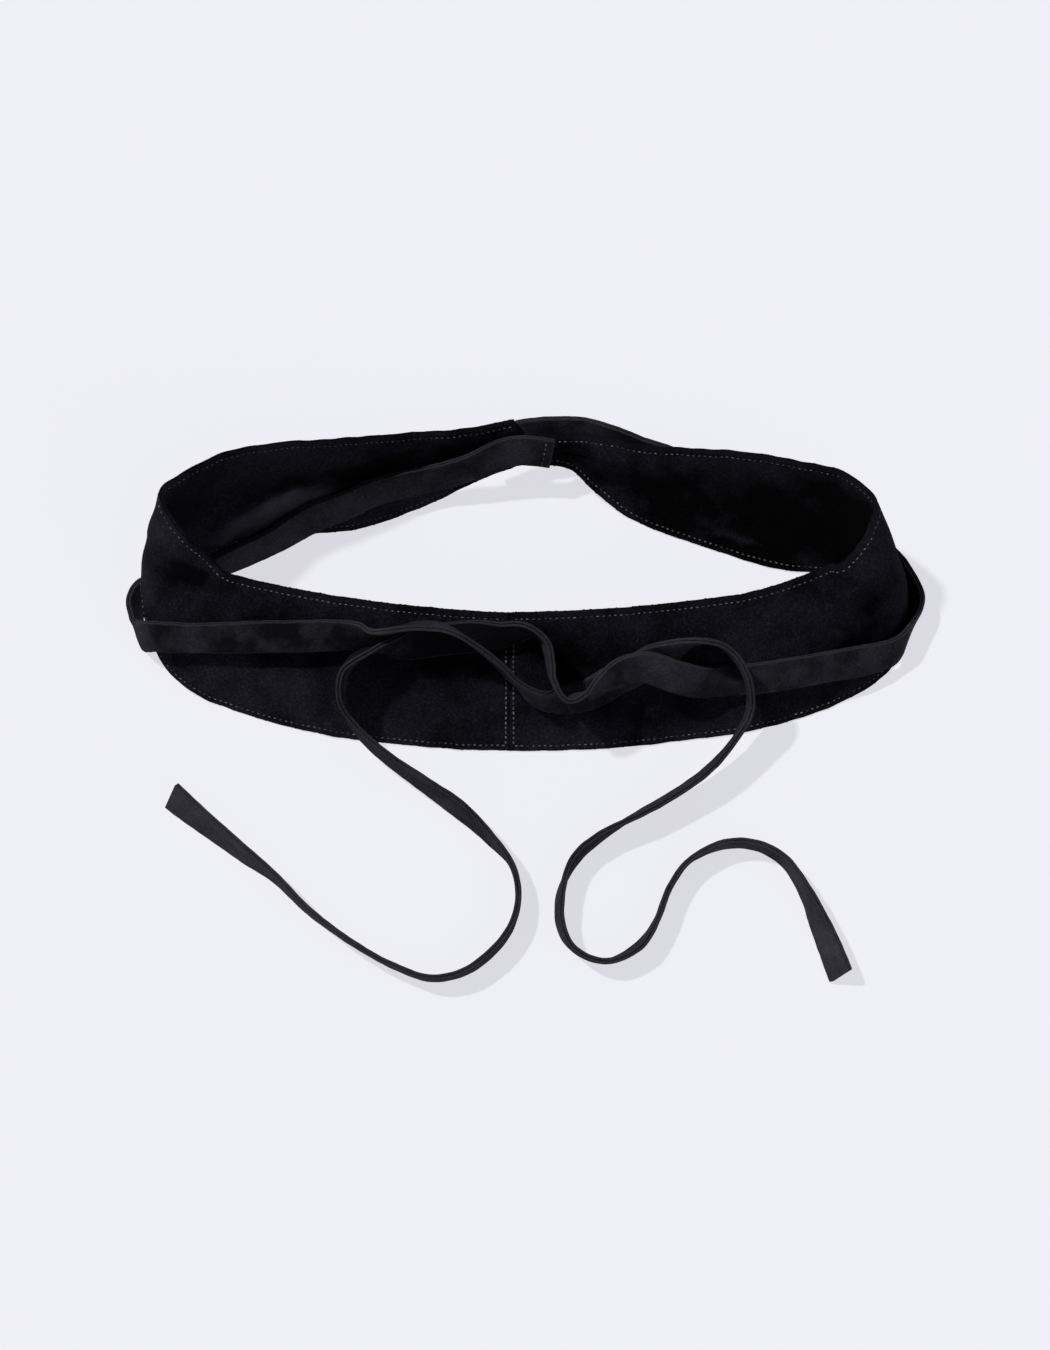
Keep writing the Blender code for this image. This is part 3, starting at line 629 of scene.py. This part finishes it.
def tieFuzz(name, rows, hand, material):
    rng = np.random.default_rng(fuzzLook["seeds"]["tiePlaces"] + hand)
    middle, width, thickness, run, gone = tieRoute(rows, hand, tieLook["step"])
    roots, outs = [], []
    for edge in (1, -1):
        i = rng.integers(1, len(gone) - 2, int(gone[-1] * fuzzLook["tiePerMetre"]))
        share = rng.uniform(0, 1, (len(i), 1))
        across = rng.uniform(-1, 1, (len(i), 1)) * fuzzLook["tieAcross"] * belt["tieThickness"] / 2
        here = middle[i] + (middle[i + 1] - middle[i]) * share
        aside = width[i] * edge * (belt["tieWidth"] / 2 - fuzzLook["rooted"])
        roots.append(here + aside + thickness[i] * across)
        outs.append(width[i] * edge + thickness[i] * np.sign(across) * fuzzLook["flare"])
    seed = fuzzLook["seeds"]["tie"] + hand
    return fibres(name, np.concatenate(roots), np.concatenate(outs), material, seed)


stitches = {
    "pitch": 0.0028,
    "length": 0.0013,
    "width": 0.00062,
    "height": 0.00032,
    "seamSize": 1.35,        # the seam's stitches against the others
    "uneven": 0.06,          # how much their length and slant vary
    "aim": 0.0005,           # half step for reading their direction
    "edgeSpan": (0.004, 0.997),  # share of a half's length that the edge rows take
    "edgeReads": 500,        # places where the line of an edge row is read
    "seamSpan": (0.045, 0.955),  # share of the height that the seam rows take
    "seamReads": 60,
    "onTie": (-2, -1, 0, 1, 2),  # a tie's stitches, in pitches from its middle
    "seeds": {"low": 11, "high": 21, "seam": 31, "tie": 50},
    "sides": 6,
    # place along a stitch, how thick it is there
    "rings": [(-0.5, 0.35), (-0.38, 0.85), (0.0, 1.0), (0.38, 0.85), (0.5, 0.35)],
}


# small threads lying on a surface: centres, run directions and outward directions
def threads(centres, runs, outs, seed, size=1.0):
    rng = np.random.default_rng(seed)
    across = unit(np.cross(outs, runs))
    points = []
    for share, thick in stitches["rings"]:
        for k in range(stitches["sides"]):
            angle = k * math.tau / stitches["sides"]
            w = math.cos(angle) * stitches["width"] / 2 * thick
            h = math.sin(angle) * stitches["height"] * thick
            points.append((share * stitches["length"], w, h - (1 - thick) * stitches["height"]))
    points = np.array(points) * size
    slant = rng.normal(0, stitches["uneven"], len(centres))[:, None]
    long = rng.normal(1, stitches["uneven"], len(centres))[:, None, None]
    runs = unit(runs + across * slant)
    across = unit(np.cross(outs, runs))
    cloud = (
        centres[:, None]
        + runs[:, None] * points[None, :, :1] * long
        + across[:, None] * points[None, :, 1:2]
        + outs[:, None] * points[None, :, 2:]
    )
    sides, ringCount = stitches["sides"], len(stitches["rings"])
    quads = []
    for r in range(ringCount - 1):
        for k in range(sides):
            n = (k + 1) % sides
            quads.append((r * sides + k, r * sides + n, (r + 1) * sides + n, (r + 1) * sides + k))
    quads = np.array(quads)
    step = ringCount * sides
    all4 = (quads[None] + (np.arange(len(centres)) * step)[:, None, None]).reshape(-1, 4)
    first = [list(range(sides))[::-1], list(range(step - sides, step))]
    caps = [[v + i * step for v in cap] for i in range(len(centres)) for cap in first]
    return cloud.reshape(-1, 3), all4.tolist(), caps


def threadObject(name, groups, material):
    points, faces, start = [], [], 0
    for cloud, quads, caps in groups:
        points.append(cloud)
        faces += [[v + start for v in face] for face in quads + caps]
        start += len(cloud)
    piece = meshPiece(name, (np.concatenate(points) + home).tolist(), faces, material)
    piece.data.shade_smooth()
    return piece


# evenly spaced stitches along a line on the body, on one face
def stitchLine(alongs, ups, face, seed, size=1.0):
    points = leatherPoint(alongs, ups)
    gone = np.r_[0, np.cumsum(np.linalg.norm(np.diff(points, axis=0), axis=1))]
    count = int(gone[-1] / stitches["pitch"])
    at = (np.arange(count) + 0.5) * stitches["pitch"]
    along = np.interp(at, gone, alongs)
    up = np.interp(at, gone, ups)
    middle, rise, outward = leatherFrame(along, up)
    on, back = at + stitches["aim"], at - stitches["aim"]
    ahead = leatherPoint(np.interp(on, gone, alongs), np.interp(on, gone, ups))
    behind = leatherPoint(np.interp(back, gone, alongs), np.interp(back, gone, ups))
    out = outward * face
    centre = middle + out * (belt["bodyThickness"] / 2 - bodyLook["pinch"] * 0.5)
    return threads(centre, unit(ahead - behind), out, seed, size)


def bodyStitches(name, side, material):
    alongs = np.linspace(*stitches["edgeSpan"], stitches["edgeReads"]) * side
    inset = bodyLook["stitchInset"] / readBody(alongs)[:, 5]
    ups = np.linspace(*stitches["seamSpan"], stitches["seamReads"])
    length = footLengths(np.linspace(0, 1, bodyLook["footReads"]) * side)[-1]
    seam = ups * 0 + side * bodyLook["seamInset"] / length
    seeds = stitches["seeds"]
    groups = []
    for face in (1, -1):
        groups.append(stitchLine(alongs, inset, face, seeds["low"] + face))
        groups.append(stitchLine(alongs, 1 - inset, face, seeds["high"] + face))
        groups.append(stitchLine(seam, ups, face, seeds["seam"] + face, stitches["seamSize"]))
    return threadObject(name, groups, material)


tieLook = {
    "step": 0.0010,
    "readsPerRow": 60,
    "spacing": 0.75,         # power of the distance between rows that sets the curve's keys
    "nudge": 0.0001,         # share of the keys' length for reading a direction
    "ripple": 0.00012,       # soft unevenness of the leather
    "rippleWaves": (0.05, 0.008),
    "ragged": 0.00009,       # unevenness of the cut edges
    "raggedWaves": (0.02, 0.0014),
    "raggedPower": 6,        # how close to the edges it stays
    "crown": 0.06,           # how much thinner the faces get at the edges
    "edgeNap": (0.46, -0.3),  # past this share of the width the nap is this much darker
    "endShare": 0.985,       # the cut ends close in a little
    "lengths": {"right": 0.967, "left": 0.951},
    "stitchPlaces": (0.004,),  # rows across, metres from the sewn end
    "seed": 40,
}


# painted shade and painted light on a tie, with some nap tone: share of its length, half reach, how much
tieNapsAndPaintedShade = {
    "strap_right": [(0.04, 0.06, -0.3), (0.135, 0.045, 0.9), (0.33, 0.07, -1.0), (0.99, 0.16, 0.8)],
    "strap_left": [
        (0.10, 0.10, -0.4), (0.35, 0.06, -0.2), (0.545, 0.05, -1.9), (0.615, 0.04, -1.5),
        (0.99, 0.18, 1.0),
    ],
}


def tieReach(turn):
    angle = np.radians(turn)
    return abs(np.sin(angle)) * belt["tieWidth"] / 2 + abs(np.cos(angle)) * belt["tieThickness"] / 2


# middles, width and thickness directions of a tie at even steps; hand as its width direction starts
def tieRoute(rows, hand, step):
    middles, aways = [], []
    for kind, first, second, turn, lift in rows:
        if kind == "free":
            height = tieReach(turn) + lift * belt["tieWidth"]
            middles.append([first * belt["loopWidth"], second * belt["loopDepth"], height])
            aways.append([0.0, 0.0, 1.0])
            continue
        point, rise, outward = bodyFrame(np.array([first]), np.array([second]))
        away = outward[0] if kind == "outer" else -outward[0]
        distance = belt["bodyThickness"] / 2 + belt["gap"] + tieReach(turn) + lift * belt["tieThickness"]
        middles.append(point[0] + away * distance)
        aways.append(away)
    middles = np.array(middles)
    aways = np.array(aways)
    turns = np.radians([row[3] for row in rows])[:, None]
    apart = np.linalg.norm(np.diff(middles, axis=0), axis=1)
    keys = np.r_[0, np.cumsum(apart ** tieLook["spacing"])]
    readMiddle = smoothReader(keys, middles)
    nudge = keys[-1] * tieLook["nudge"]
    run = unit(readMiddle(keys + nudge) - readMiddle(keys - nudge))
    aways = unit(aways - run * (aways * run).sum(1, keepdims=True))
    width = np.cross(aways, run) * hand * np.cos(turns) + aways * np.sin(turns)
    read = smoothReader(keys, np.hstack([middles, width]))
    fine = read(np.linspace(0, keys[-1], len(rows) * tieLook["readsPerRow"]))
    gone = np.r_[0, np.cumsum(np.linalg.norm(np.diff(fine[:, :3], axis=0), axis=1))]
    at = np.linspace(0, gone[-1], int(round(gone[-1] / step)) + 1)
    even = np.stack([np.interp(at, gone, fine[:, k]) for k in range(6)], -1)
    middle = even[:, :3]
    run = unit(np.gradient(middle, axis=0))
    width = even[:, 3:]
    width = unit(width - run * (width * run).sum(1, keepdims=True))
    return middle, width, np.cross(run, width), run, at


# across a tie's face: share of half the width
tieAcross = [-0.955, -0.90, -0.75, -0.5, -0.25, 0.0, 0.25, 0.5, 0.75, 0.90, 0.955]
# across its cut edge, from a face to the groove between the layers: distance in from the edge in
# metres, share of half the thickness, how raw the leather looks
tieEdge = [
    (0.00012, 0.84, 0.9), (0.0, 0.60, 1.0), (0.00004, 0.32, 1.0), (0.00033, 0.12, 0.25),
    (0.00055, 0.0, 0.0),
]
tieRimRaw = 0.5


# a tie's section: width and thickness places in metres, how raw the leather looks
def tieSection():
    w = belt["tieWidth"] / 2
    t = belt["tieThickness"] / 2
    face = []
    for a in tieAcross:
        raw = tieRimRaw if a in (tieAcross[0], tieAcross[-1]) else 0.0
        face.append((a * w, t * (1.0 - tieLook["crown"] * a ** 4), raw))
    edge = [(w - inward, t * share, raw) for inward, share, raw in tieEdge]
    edge = edge + [(x, -y, raw) for x, y, raw in edge[-2::-1]]
    back = [(x, -y, raw) for x, y, raw in face[::-1]]
    other = [(-x, -y, raw) for x, y, raw in edge]
    return np.array(face + edge + back + other)[::-1]


def tie(name, rows, hand, material, seed):
    middle, width, thickness, run, gone = tieRoute(rows, hand, tieLook["step"])
    section = tieSection()
    x = np.repeat(section[None, :, 0], len(gone), 0)
    y = np.repeat(section[None, :, 1], len(gone), 0)
    gone2 = np.repeat(gone[:, None], len(section), 1)
    ripple = waves(gone2, x, *tieLook["rippleWaves"], seed) * tieLook["ripple"]
    left = waves(gone, gone * 0, *tieLook["raggedWaves"], seed + 1) * tieLook["ragged"]
    right = waves(gone, gone * 0, *tieLook["raggedWaves"], seed + 2) * tieLook["ragged"]
    nearEdge = (np.abs(x) / (belt["tieWidth"] / 2)) ** tieLook["raggedPower"]
    x = x + np.where(x > 0, right[:, None], left[:, None]) * nearEdge
    rings = middle[:, None] + width[:, None] * x[..., None]
    rings = rings + thickness[:, None] * (y + ripple)[..., None]
    rings[..., 2] = np.maximum(rings[..., 2], 0.0)
    raws = np.repeat(section[None, :, 2], len(gone), 0)
    for end in (0, -1):
        rings[end] = middle[end] + (rings[end] - middle[end]) * tieLook["endShare"]
        raws[end] = 1.0
    rimShare, rimNap = tieLook["edgeNap"]
    rim = np.abs(section[:, 0]) > belt["tieWidth"] * rimShare
    napsAndPaintedShade = np.repeat(np.where(rim, rimNap, 0.0)[None], len(gone), 0)
    # painted shade and painted light along the tie, with some nap tone
    for place, reach, much in tieNapsAndPaintedShade[name]:
        a = (gone / gone[-1] - place) / reach
        napsAndPaintedShade = napsAndPaintedShade + much * np.clip(1 - a * a, 0, 1)[:, None]
    return tube(name, rings + home, raws, napsAndPaintedShade, material)


# stitches across a tie near its sewn end, on both faces
def tieStitches(name, rows, hand, places, material):
    middle, width, thickness, run, gone = tieRoute(rows, hand, tieLook["step"])
    groups = []
    for place in places:
        i = int(place / tieLook["step"])
        xs = np.array(stitches["onTie"]) * stitches["pitch"]
        for face in (1, -1):
            centre = middle[i] + width[i] * xs[:, None] + thickness[i] * face * belt["tieThickness"] / 2
            ones = np.ones((len(xs), 1))
            seed = stitches["seeds"]["tie"] + face
            groups.append(threads(centre, width[i] * ones, thickness[i] * face * ones, seed))
    return threadObject(name, groups, material)


def socket(node, name, value):
    node.inputs[name].default_value = value


# what the two suedes share: noises as detail and roughness, ranges as from low, high to low, high
napLook = {
    "patchNoise": (4.0, 0.6), "patchRange": (0.36, 0.64, 0.22, 0.88),
    "napAndPaintedShadeShare": 0.5,             # how much of the painted shade and light attribute, with its nap tone, is added to the patches
    # over this range the painted light lifts the colour to the painted highlight colour
    "paintedLightRange": (1.0, 2.2, 0.0, 1.0),
    "grainNoise": (4.0, 0.75), "grainRange": (0.36, 0.68, 0.0, 1.0),
    "grainFrom": 0.35,           # grain below this adds no colour
    "grainOnDark": (0.0, 0.8, 0.10, 1.0),
    "fibreNoise": (2.0, 0.6),
    "rawLeast": 0.45,
    "roughness": (0.88, 0.98), "specular": 0.02, "sheenRoughness": 0.45,
    "grainHigh": 0.0004, "fibreHigh": 0.00015,
}


# napped suede: mottled colour, painted shade and painted light from the points, short fibres as bump,
# raw edges of their own colour, a soft sheen
def suede(name, look):
    material = bpy.data.materials.new(name)
    material.use_nodes = True
    nodes, links = material.node_tree.nodes, material.node_tree.links
    shader = nodes["Principled BSDF"]
    place = nodes.new("ShaderNodeTexCoord")

    def noise(scale, detail, rough):
        node = nodes.new("ShaderNodeTexNoise")
        socket(node, "Scale", scale)
        socket(node, "Detail", detail)
        socket(node, "Roughness", rough)
        links.new(place.outputs["Object"], node.inputs["Vector"])
        return node.outputs["Fac"]

    def remap(value, low, high, toLow, toHigh):
        node = nodes.new("ShaderNodeMapRange")
        socket(node, "From Min", low)
        socket(node, "From Max", high)
        socket(node, "To Min", toLow)
        socket(node, "To Max", toHigh)
        links.new(value, node.inputs["Value"])
        return node.outputs["Result"]

    def reckon(operation, *values):
        node = nodes.new("ShaderNodeMath")
        node.operation = operation
        for number, value in enumerate(values):
            if isinstance(value, float):
                node.inputs[number].default_value = value
            else:
                links.new(value, node.inputs[number])
        return node.outputs[0]

    # the mix node takes its two colours at sockets 6 and 7 and gives the blend at 2
    def blend(factor, a, b):
        node = nodes.new("ShaderNodeMix")
        node.data_type = "RGBA"
        for source, number in ((a, 6), (b, 7)):
            if isinstance(source, tuple):
                node.inputs[number].default_value = (*source, 1.0)
            else:
                links.new(source, node.inputs[number])
        links.new(factor, node.inputs[0])
        return node.outputs[2]

    def attribute(label):
        node = nodes.new("ShaderNodeAttribute")
        node.attribute_name = label
        return node.outputs["Fac"]

    def bump(height, strength, distance):
        node = nodes.new("ShaderNodeBump")
        socket(node, "Strength", strength)
        socket(node, "Distance", distance)
        links.new(height, node.inputs["Height"])
        return node

    mottle = remap(noise(look["patchScale"], *napLook["patchNoise"]), *napLook["patchRange"])
    mottleAndPaintedShade = reckon("MULTIPLY_ADD", attribute("napAndPaintedShade"), napLook["napAndPaintedShadeShare"], mottle)
    patches = remap(mottleAndPaintedShade, 0.0, 1.0, 0.0, 1.0)
    grain = remap(noise(look["grainScale"], *napLook["grainNoise"]), *napLook["grainRange"])
    # painted shade pulls the colour towards dark, and painted light pulls it towards the painted
    # highlight colour
    colour = blend(patches, look["dark"], look["mid"])
    colour = blend(remap(mottleAndPaintedShade, *napLook["paintedLightRange"]), colour, look["paintedLight"])
    grainShare = remap(grain, napLook["grainFrom"], 1.0, 0.0, look["grainColour"])
    grainShare = reckon("MULTIPLY", grainShare, remap(patches, *napLook["grainOnDark"]))
    colour = blend(grainShare, colour, look["light"])
    rawShare = remap(grain, 0.0, 1.0, napLook["rawLeast"], look["rawShare"])
    colour = blend(reckon("MULTIPLY", attribute("rawEdge"), rawShare), colour, look["raw"])
    links.new(colour, shader.inputs["Base Color"])
    links.new(remap(patches, 0.0, 1.0, *napLook["roughness"]), shader.inputs["Roughness"])
    socket(shader, "Specular IOR Level", napLook["specular"])
    socket(shader, "Sheen Weight", look["sheen"])
    socket(shader, "Sheen Roughness", napLook["sheenRoughness"])
    socket(shader, "Sheen Tint", (*look["sheenTint"], 1.0))
    bumpGrain = bump(grain, look["grainBump"], napLook["grainHigh"])
    fibre = noise(look["fibreScale"], *napLook["fibreNoise"])
    bumpFibre = bump(fibre, look["fibreBump"], napLook["fibreHigh"])
    links.new(bumpGrain.outputs["Normal"], bumpFibre.inputs["Normal"])
    links.new(bumpFibre.outputs["Normal"], shader.inputs["Normal"])
    return material


# dark is reached by the deepest mottle and by painted shade; paintedLight is a painted highlight colour
# for the strongest painted light
bodySuede = {
    "dark": (0.0009, 0.0009, 0.0013), "mid": (0.0160, 0.0147, 0.0226), "light": (0.047, 0.044, 0.064),
    "paintedLight": (0.130, 0.122, 0.160), "raw": (0.0050, 0.0048, 0.0066), "rawShare": 0.9,
    "sheen": 0.006, "sheenTint": (0.72, 0.72, 0.95),
    "patchScale": 34.0, "grainScale": 760.0, "fibreScale": 2400.0, "grainColour": 0.60,
    "grainBump": 0.8, "fibreBump": 0.6,
}
# dark is reached by the deepest mottle and by painted shade; paintedLight is a painted highlight colour
# for the strongest painted light
tieSuede = {
    "dark": (0.0060, 0.0060, 0.0080), "mid": (0.0385, 0.0372, 0.0490), "light": (0.070, 0.068, 0.088),
    "paintedLight": (0.085, 0.083, 0.100), "raw": (0.0480, 0.0470, 0.0570), "rawShare": 0.9,
    "sheen": 0.020, "sheenTint": (0.78, 0.79, 0.95),
    "patchScale": 60.0, "grainScale": 800.0, "fibreScale": 2400.0, "grainColour": 0.55,
    "grainBump": 0.65, "fibreBump": 0.6,
}
threadPaint = {
    "dark": (0.020, 0.020, 0.026), "light": (0.20, 0.20, 0.22), "places": (0.38, 0.64),
    "scale": 420.0, "detail": 2.0, "roughness": 0.75,
}


def thread(name, look):
    material = bpy.data.materials.new(name)
    material.use_nodes = True
    nodes, links = material.node_tree.nodes, material.node_tree.links
    shader = nodes["Principled BSDF"]
    place = nodes.new("ShaderNodeTexCoord")
    noise = nodes.new("ShaderNodeTexNoise")
    socket(noise, "Scale", look["scale"])
    socket(noise, "Detail", look["detail"])
    ramp = nodes.new("ShaderNodeValToRGB")
    for stop, tone, at in zip(ramp.color_ramp.elements, ("dark", "light"), look["places"]):
        stop.position = at
        stop.color = (*look[tone], 1.0)
    links.new(place.outputs["Object"], noise.inputs["Vector"])
    links.new(noise.outputs["Fac"], ramp.inputs["Fac"])
    links.new(ramp.outputs["Color"], shader.inputs["Base Color"])
    socket(shader, "Roughness", look["roughness"])
    return material


ties = {"right": (rightTieRows, 1), "left": (leftTieRows, -1)}


# places where the body is read for its box, and the ties' steps there
boxReads = {"along": 401, "up": 5, "tieSteps": 2}


# middle of the whole belt as the tables lay it out
def tablesMiddle():
    along = np.linspace(-1, 1, boxReads["along"])
    corners = []
    for up in np.linspace(0, 1, boxReads["up"]):
        point, rise, outward = bodyFrame(along, along * 0 + up)
        corners += [point + side * belt["bodyThickness"] / 2 * outward for side in (-1, 1)]
    for rows, hand in ties.values():
        step = tieLook["step"] * boxReads["tieSteps"]
        middle, width, thickness, run, gone = tieRoute(rows, hand, step)
        for w in (-0.5, 0.5):
            for t in (-0.5, 0.5):
                corner = middle + width * w * belt["tieWidth"]
                corners.append(corner + thickness * t * belt["tieThickness"])
    corners = np.concatenate(corners)
    return (corners.min(0) + corners.max(0)) / 2


# everything is laid out from the tables, and home moves it to the frame's place
cadMiddle = (np.array(cadBox[0]) + np.array(cadBox[1])) / 2
home = (cadMiddle - tablesMiddle()) * np.array([1.0, 1.0, 0.0])
print("home", home.round(5))

bodyMaterial = suede("body_suede", bodySuede)
tieMaterial = suede("tie_suede", tieSuede)
threadMaterial = thread("pale_thread", threadPaint)

for name, side in (("left", -1), ("right", 1)):
    piece = bodyHalf("body_" + name, side, bodyMaterial)
    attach(piece, "root")
    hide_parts("panel_" + name)
    seams = bodyStitches("stitches_" + name, side, threadMaterial)
    fuzz = bodyFuzz("fuzz_" + name, side, bodyMaterial)
    for extra in (seams, fuzz):
        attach(extra, "root")
    print("body half", name, len(piece.data.polygons), "faces", len(seams.data.polygons), "stitch faces")

for name, (rows, hand) in ties.items():
    piece = tie("strap_" + name, rows, hand, tieMaterial, tieLook["seed"] + hand)
    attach(piece, "root")
    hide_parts("tie_" + name)
    seams = tieStitches("strap_stitches_" + name, rows, hand, tieLook["stitchPlaces"], threadMaterial)
    fuzz = tieFuzz("strap_fuzz_" + name, rows, hand, tieMaterial)
    for extra in (seams, fuzz):
        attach(extra, "root")
    print("tie", name, len(piece.data.polygons), "faces")


floor = {
    "size": 6.0,
    "under": 0.0002,         # how far below the belt it lies
    "roughness": 0.9, "specular": 0.1,
    "colour": (0.26, 0.26, 0.27), "glow": (0.672, 0.667, 0.722), "glowPower": 1.0,
}


def makeFloor():
    material = bpy.data.materials.new("pale_floor")
    material.use_nodes = True
    shader = material.node_tree.nodes["Principled BSDF"]
    socket(shader, "Base Color", (*floor["colour"], 1.0))
    socket(shader, "Emission Color", (*floor["glow"], 1.0))
    socket(shader, "Emission Strength", floor["glowPower"])
    socket(shader, "Roughness", floor["roughness"])
    socket(shader, "Specular IOR Level", floor["specular"])
    r = floor["size"] / 2
    corners = [(-r, -r, 0), (r, -r, 0), (r, r, 0), (-r, r, 0)]
    piece = meshPiece("floor", corners, [(0, 1, 2, 3)], material)
    piece.location.z = -floor["under"]


makeFloor()

light = {
    "sunFrom": (-0.50, 0.25, 0.96), "sunPower": 2.2, "sunSize": 3.0,  # degrees
    "fillPlace": (1.2, -1.2, 1.44), "fillPower": 4.0, "fillSize": 1.6,
    "air": (0.95, 0.95, 1.0), "airPower": 0.12,
}


def makeLight():
    sun = bpy.data.lights.new("sun", "SUN")
    sun.energy = light["sunPower"]
    sun.angle = math.radians(light["sunSize"])
    fill = bpy.data.lights.new("fill", "AREA")
    fill.energy = light["fillPower"]
    fill.size = light["fillSize"]
    for lamp, place in ((sun, light["sunFrom"]), (fill, light["fillPlace"])):
        piece = bpy.data.objects.new(lamp.name, lamp)
        bpy.context.collection.objects.link(piece)
        piece.location = place
        piece.rotation_euler = (-Vector(place)).to_track_quat("-Z", "Y").to_euler()
    world = bpy.data.worlds.new("air")
    world.use_nodes = True
    background = world.node_tree.nodes["Background"]
    background.inputs["Color"].default_value = (*light["air"], 1.0)
    background.inputs["Strength"].default_value = light["airPower"]
    bpy.context.scene.world = world


makeLight()

camera = {
    "target": (0.0073, 0.0, 0.0),  # laid out as the tables are
    "elevation": 72.0,       # degrees over the floor
    "distance": 2.0,
    "focalPixels": 4100.0,   # in a picture 1350 pixels high
    "pictureHeight": 1350.0,
    "sensor": 36.0,          # millimetres
    "farthest": 20.0,
}


def makeCamera():
    data = bpy.data.cameras.new("camera")
    data.sensor_fit = "VERTICAL"
    data.sensor_height = camera["sensor"]
    data.lens = camera["focalPixels"] / camera["pictureHeight"] * data.sensor_height
    data.clip_end = camera["farthest"]
    piece = bpy.data.objects.new("camera", data)
    bpy.context.collection.objects.link(piece)
    tilt = math.radians(camera["elevation"])
    back = np.array([0.0, -math.cos(tilt), math.sin(tilt)])
    piece.location = np.array(camera["target"]) + home + back * camera["distance"]
    piece.rotation_euler = (math.pi / 2 - tilt, 0.0, 0.0)
    bpy.context.scene.camera = piece


makeCamera()
print("floor, light and camera")
bpy.context.scene.view_settings.view_transform = "Standard"
